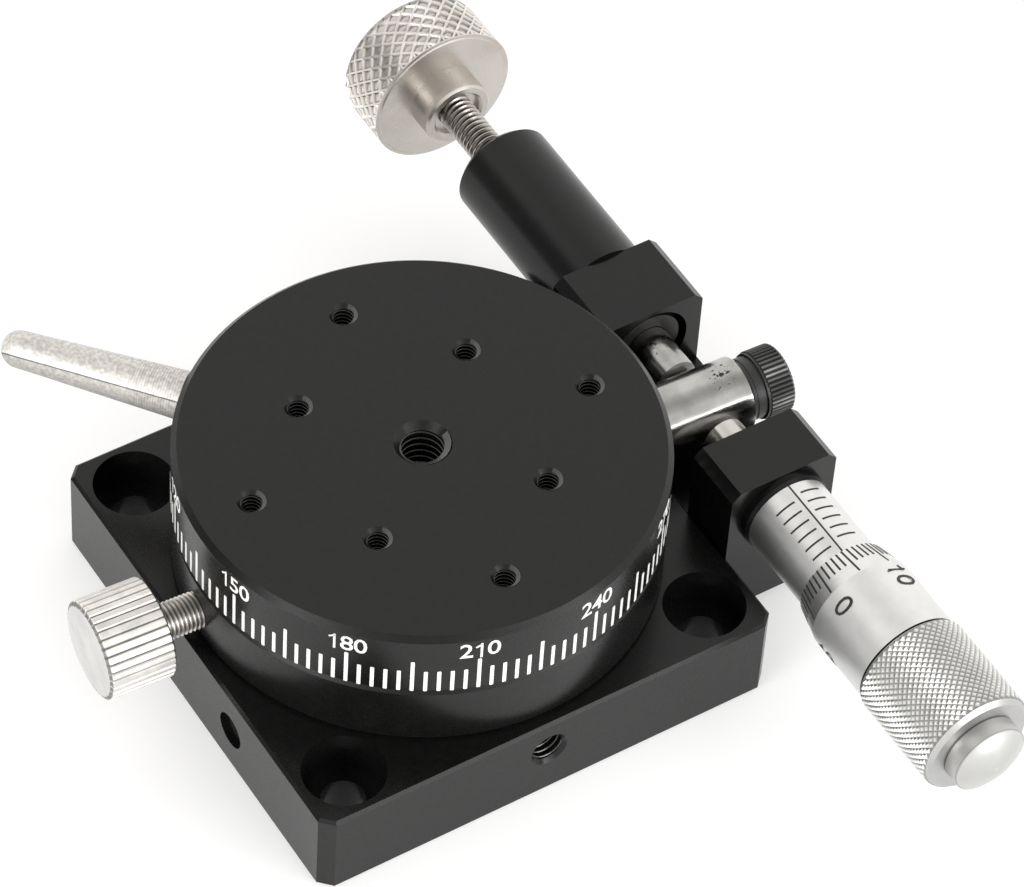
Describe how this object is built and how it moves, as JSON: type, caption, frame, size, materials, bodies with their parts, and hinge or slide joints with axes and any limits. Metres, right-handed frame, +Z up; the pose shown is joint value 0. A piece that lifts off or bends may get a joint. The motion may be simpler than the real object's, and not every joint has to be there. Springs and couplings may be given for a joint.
{
  "type": "manual rotation stage",
  "caption": "Round optical rotation stage on a square base, coarse turn by a lever and fine turn by a tangential micrometer against a spring plunger, with lock screws.",
  "frame": {"origin": "on the turning axis at the underside of the base", "axes": "+Z up along the turning axis, +X towards the micrometer bracket, -Y towards the front face of the base and the micrometer's thimble"},
  "size_m": [0.0603, 0.0852, 0.02],
  "materials": {
    "black_anodised": "satin black anodised, engraved marks filled white",
    "black_anodised_fine": "black anodised",
    "polished_steel": "polished, with wear marks",
    "ground_steel": "ground",
    "black_oxide": "black oxide",
    "bronze": "bearing bronze",
    "plain_steel": "plain",
    "ptfe": "off-white low-friction plastic",
    "satin_chrome": "satin chrome with black marks",
    "knurled_chrome": "satin chrome, diamond knurl",
    "nickel": "nickel plated",
    "turned_aluminium": "as turned",
    "spring_steel": "drawn wire",
    "zinc_steel": "zinc plated"
  },
  "bodies": {
    "base": {"base_plate": "black_anodised", "base_bush": "bronze", "base_thrust_washer": "ptfe", "base_grub_screw": "black_oxide", "nut_thrust_washer": "ptfe", "tangent_bracket": "black_anodised_fine", "bracket_screws": "black_oxide", "micrometer_grub_screw": "black_oxide", "micrometer_sleeve": "satin_chrome", "micrometer_collar": "black_oxide", "micrometer_adjusting_nut": "plain_steel", "plunger_bush": "plain_steel", "spring_housing": "black_anodised_fine", "plunger_spring": "spring_steel"},
    "clamp_ring": {"clamp_ring": "black_anodised", "ring_bush": "bronze", "ring_retaining_nut": "plain_steel", "table_thrust_washer": "ptfe", "tangent_arm": "polished_steel", "arm_washer": "zinc_steel", "arm_cap_screw": "black_oxide"},
    "table": {"rotary_table": "black_anodised", "table_retaining_plate": "plain_steel", "table_retaining_screws": "black_oxide", "coarse_handle": "turned_aluminium"},
    "spindle": {"micrometer_spindle": "ground_steel"},
    "thimble": {"thimble": "knurled_chrome", "thimble_cap": "satin_chrome"},
    "plunger": {"plunger": "polished_steel"},
    "thumb_stud": {"thumb_screw_stud": "zinc_steel", "lock_pad": "bronze"},
    "thumb_head": {"thumb_screw_head": "nickel"},
    "lock_rod": {"lock_rod": "zinc_steel"},
    "lock_knob": {"lock_knob": "nickel"}
  },
  "joints": [
    {"name": "spindle_slide", "type": "slide", "parent": "base", "child": "spindle", "axis": [0, 1, 0], "range_m": [-0.0003, 0.0036]},
    {"name": "thimble_spin", "type": "hinge", "parent": "spindle", "child": "thimble", "pos_m": [0.0248, -0.03, 0.0113], "axis": [0, 1, 0], "range_deg": [-216.5, 2592.5]},
    {"name": "fine_rotation", "type": "hinge", "parent": "base", "child": "clamp_ring", "pos_m": [0, 0, 0.0109], "axis": [0, 0, 1], "range_deg": [-0.7, 8.33]},
    {"name": "plunger_slide", "type": "slide", "parent": "base", "child": "plunger", "axis": [0, 1, 0], "range_m": [-0.0003, 0.00362], "deforming": ["plunger_spring"]},
    {"name": "coarse_rotation", "type": "hinge", "parent": "clamp_ring", "child": "table", "pos_m": [0, 0, 0.0169], "axis": [0, 0, 1], "continuous": true},
    {"name": "thumb_screw_travel", "type": "slide", "parent": "clamp_ring", "child": "thumb_stud", "axis": [0.9986, -0.0523, 0], "range_m": [-0.0015, 0.0003]},
    {"name": "thumb_screw_spin", "type": "hinge", "parent": "thumb_stud", "child": "thumb_head", "pos_m": [-0.02596, 0.00136, 0.0105], "axis": [0.9986, -0.0523, 0], "range_deg": [-1543.36, 309.07]},
    {"name": "lock_rod_travel", "type": "slide", "parent": "base", "child": "lock_rod", "axis": [0, -1, 0], "range_m": [-0.002, 0.0044]},
    {"name": "lock_knob_spin", "type": "hinge", "parent": "lock_rod", "child": "lock_knob", "pos_m": [0.0248, 0.04, 0.0113], "axis": [0, -1, 0], "range_deg": [-1440.5, 3168.5]}
  ],
  "couplings": [
    {"joint": "thimble_spin", "follows": "spindle_slide", "rad_per_m": 12566},
    {"joint": "fine_rotation", "follows": "spindle_slide", "rad_per_m": 40.323},
    {"joint": "plunger_slide", "follows": "spindle_slide", "ratio": 1.005},
    {"joint": "thumb_screw_spin", "follows": "thumb_screw_travel", "rad_per_m": 17952},
    {"joint": "lock_knob_spin", "follows": "lock_rod_travel", "rad_per_m": 12566}
  ]
}
